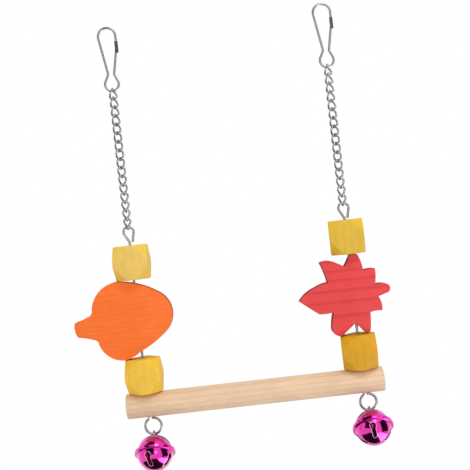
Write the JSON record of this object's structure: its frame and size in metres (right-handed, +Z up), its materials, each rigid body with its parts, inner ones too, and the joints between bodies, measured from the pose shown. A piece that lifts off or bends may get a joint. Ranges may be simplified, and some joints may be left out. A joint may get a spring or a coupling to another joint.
{
  "type": "bird swing",
  "caption": "Hanging bird swing: dowel perch on wires threaded with cut-corner beads and flat plaques, hung by link chains from snap hooks, with jingle bells below.",
  "frame": {"origin": "midway between the two hooks, on the line where the insides of their bows rest on a cage bar", "axes": "+Z up, +X along the perch towards the leaf plaque, +Y away from the viewer of the picture"},
  "size_m": [0.184, 0.0293, 0.2588],
  "materials": {
    "nickel_wire": "bright nickel plating on steel wire",
    "yellow_wood": "yellow dye stain, matte",
    "orange_wood": "orange dye stain, matte, fine grain",
    "red_wood": "red dye stain, matte, darker grain lines",
    "natural_wood": "bare sanded dowel",
    "magenta_metal": "glossy metallic lacquer",
    "clapper_steel": "plain steel pellet"
  },
  "bodies": {
    "hooks": {"left_hook": "nickel_wire", "left_latch_sleeve": "nickel_wire", "right_hook": "nickel_wire", "right_latch_sleeve": "nickel_wire"},
    "link_row_01": {"left_link_01": "nickel_wire", "right_link_01": "nickel_wire"},
    "link_row_02": {"left_link_02": "nickel_wire", "right_link_02": "nickel_wire"},
    "link_row_03": {"left_link_03": "nickel_wire", "right_link_03": "nickel_wire"},
    "link_row_04": {"left_link_04": "nickel_wire", "right_link_04": "nickel_wire"},
    "link_row_05": {"left_link_05": "nickel_wire", "right_link_05": "nickel_wire"},
    "link_row_06": {"left_link_06": "nickel_wire", "right_link_06": "nickel_wire"},
    "link_row_07": {"left_link_07": "nickel_wire", "right_link_07": "nickel_wire"},
    "link_row_08": {"left_link_08": "nickel_wire", "right_link_08": "nickel_wire"},
    "link_row_09": {"left_link_09": "nickel_wire", "right_link_09": "nickel_wire"},
    "link_row_10": {"left_link_10": "nickel_wire", "right_link_10": "nickel_wire"},
    "link_row_11": {"left_link_11": "nickel_wire", "right_link_11": "nickel_wire"},
    "link_row_12": {"left_link_12": "nickel_wire", "right_link_12": "nickel_wire"},
    "link_row_13": {"left_link_13": "nickel_wire", "right_link_13": "nickel_wire"},
    "link_row_14": {"left_link_14": "nickel_wire", "right_link_14": "nickel_wire"},
    "link_row_15": {"left_link_15": "nickel_wire", "right_link_15": "nickel_wire"},
    "link_row_16": {"left_link_16": "nickel_wire", "right_link_16": "nickel_wire"},
    "perch": {"perch": "natural_wood", "left_wire": "nickel_wire", "right_wire": "nickel_wire"},
    "left_gate": {"left_gate": "nickel_wire"},
    "left_upper_bead": {"left_upper_bead": "yellow_wood"},
    "left_lower_bead": {"left_lower_bead": "yellow_wood"},
    "pumpkin_plaque": {"pumpkin_plaque": "orange_wood"},
    "left_bell": {"left_bell_shank": "nickel_wire", "left_bell_top": "magenta_metal", "left_bell_bottom": "magenta_metal"},
    "left_clapper": {"left_clapper": "clapper_steel"},
    "right_gate": {"right_gate": "nickel_wire"},
    "right_upper_bead": {"right_upper_bead": "yellow_wood"},
    "right_lower_bead": {"right_lower_bead": "yellow_wood"},
    "leaf_plaque": {"leaf_plaque": "red_wood"},
    "right_bell": {"right_bell_shank": "nickel_wire", "right_bell_top": "magenta_metal", "right_bell_bottom": "magenta_metal"},
    "right_clapper": {"right_clapper": "clapper_steel"}
  },
  "joints": [
    {"name": "swing", "type": "hinge", "parent": "hooks", "child": "link_row_01", "pos_m": [0, 0, -0.0363], "axis": [1, 0, 0], "range_deg": [-50, 50]},
    {"name": "link_02_bend", "type": "hinge", "parent": "link_row_01", "child": "link_row_02", "pos_m": [0, 0, -0.04062], "axis": [1, 0, 0], "range_deg": [-8, 8]},
    {"name": "link_03_bend", "type": "hinge", "parent": "link_row_02", "child": "link_row_03", "pos_m": [0, 0, -0.0457], "axis": [1, 0, 0], "range_deg": [-8, 8]},
    {"name": "link_04_bend", "type": "hinge", "parent": "link_row_03", "child": "link_row_04", "pos_m": [0, 0, -0.05078], "axis": [1, 0, 0], "range_deg": [-8, 8]},
    {"name": "link_05_bend", "type": "hinge", "parent": "link_row_04", "child": "link_row_05", "pos_m": [0, 0, -0.05586], "axis": [1, 0, 0], "range_deg": [-8, 8]},
    {"name": "link_06_bend", "type": "hinge", "parent": "link_row_05", "child": "link_row_06", "pos_m": [0, 0, -0.06094], "axis": [1, 0, 0], "range_deg": [-8, 8]},
    {"name": "link_07_bend", "type": "hinge", "parent": "link_row_06", "child": "link_row_07", "pos_m": [0, 0, -0.06602], "axis": [1, 0, 0], "range_deg": [-8, 8]},
    {"name": "link_08_bend", "type": "hinge", "parent": "link_row_07", "child": "link_row_08", "pos_m": [0, 0, -0.0711], "axis": [1, 0, 0], "range_deg": [-8, 8]},
    {"name": "link_09_bend", "type": "hinge", "parent": "link_row_08", "child": "link_row_09", "pos_m": [0, 0, -0.07618], "axis": [1, 0, 0], "range_deg": [-8, 8]},
    {"name": "link_10_bend", "type": "hinge", "parent": "link_row_09", "child": "link_row_10", "pos_m": [0, 0, -0.08126], "axis": [1, 0, 0], "range_deg": [-8, 8]},
    {"name": "link_11_bend", "type": "hinge", "parent": "link_row_10", "child": "link_row_11", "pos_m": [0, 0, -0.08634], "axis": [1, 0, 0], "range_deg": [-8, 8]},
    {"name": "link_12_bend", "type": "hinge", "parent": "link_row_11", "child": "link_row_12", "pos_m": [0, 0, -0.09142], "axis": [1, 0, 0], "range_deg": [-8, 8]},
    {"name": "link_13_bend", "type": "hinge", "parent": "link_row_12", "child": "link_row_13", "pos_m": [0, 0, -0.0965], "axis": [1, 0, 0], "range_deg": [-8, 8]},
    {"name": "link_14_bend", "type": "hinge", "parent": "link_row_13", "child": "link_row_14", "pos_m": [0, 0, -0.10158], "axis": [1, 0, 0], "range_deg": [-8, 8]},
    {"name": "link_15_bend", "type": "hinge", "parent": "link_row_14", "child": "link_row_15", "pos_m": [0, 0, -0.10666], "axis": [1, 0, 0], "range_deg": [-8, 8]},
    {"name": "link_16_bend", "type": "hinge", "parent": "link_row_15", "child": "link_row_16", "pos_m": [0, 0, -0.11174], "axis": [1, 0, 0], "range_deg": [-8, 8]},
    {"name": "perch_hang", "type": "hinge", "parent": "link_row_16", "child": "perch", "pos_m": [0, 0, -0.11601], "axis": [1, 0, 0], "range_deg": [-20, 20]},
    {"name": "left_gate_open", "type": "hinge", "parent": "hooks", "child": "left_gate", "pos_m": [-0.0611, 0, -0.0266], "axis": [0, -1, 0], "range_deg": [0, 20], "stiffness_Nm_per_rad": 0.02, "springref_deg": -5.73},
    {"name": "left_upper_bead_spin", "type": "hinge", "parent": "perch", "child": "left_upper_bead", "pos_m": [-0.063, 0, -0.22018], "axis": [0, 0, 1], "continuous": true},
    {"name": "left_lower_bead_spin", "type": "hinge", "parent": "perch", "child": "left_lower_bead", "pos_m": [-0.063, 0, -0.22018], "axis": [0, 0, 1], "continuous": true},
    {"name": "pumpkin_plaque_turn", "type": "hinge", "parent": "perch", "child": "pumpkin_plaque", "pos_m": [-0.063, 0, -0.22018], "axis": [0, 0, 1], "continuous": true},
    {"name": "left_bell_swing", "type": "hinge", "parent": "perch", "child": "left_bell", "pos_m": [-0.0611, 0, -0.23764], "axis": [1, 0, 0], "range_deg": [-45, 115]},
    {"name": "left_clapper_roll", "type": "hinge", "parent": "left_bell", "child": "left_clapper", "pos_m": [-0.0611, -0.0066, -0.24706], "axis": [1, 0, 0], "range_deg": [-60, 60]},
    {"name": "right_gate_open", "type": "hinge", "parent": "hooks", "child": "right_gate", "pos_m": [0.0649, 0, -0.0266], "axis": [0, -1, 0], "range_deg": [0, 20], "stiffness_Nm_per_rad": 0.02, "springref_deg": -5.73},
    {"name": "right_upper_bead_spin", "type": "hinge", "parent": "perch", "child": "right_upper_bead", "pos_m": [0.063, 0, -0.22018], "axis": [0, 0, 1], "continuous": true},
    {"name": "right_lower_bead_spin", "type": "hinge", "parent": "perch", "child": "right_lower_bead", "pos_m": [0.063, 0, -0.22018], "axis": [0, 0, 1], "continuous": true},
    {"name": "leaf_plaque_turn", "type": "hinge", "parent": "perch", "child": "leaf_plaque", "pos_m": [0.063, 0, -0.22018], "axis": [0, 0, 1], "continuous": true},
    {"name": "right_bell_swing", "type": "hinge", "parent": "perch", "child": "right_bell", "pos_m": [0.0649, 0, -0.23764], "axis": [1, 0, 0], "range_deg": [-37, 123]},
    {"name": "right_clapper_roll", "type": "hinge", "parent": "right_bell", "child": "right_clapper", "pos_m": [0.0649, -0.00784, -0.24605], "axis": [1, 0, 0], "range_deg": [-60, 60]}
  ]
}
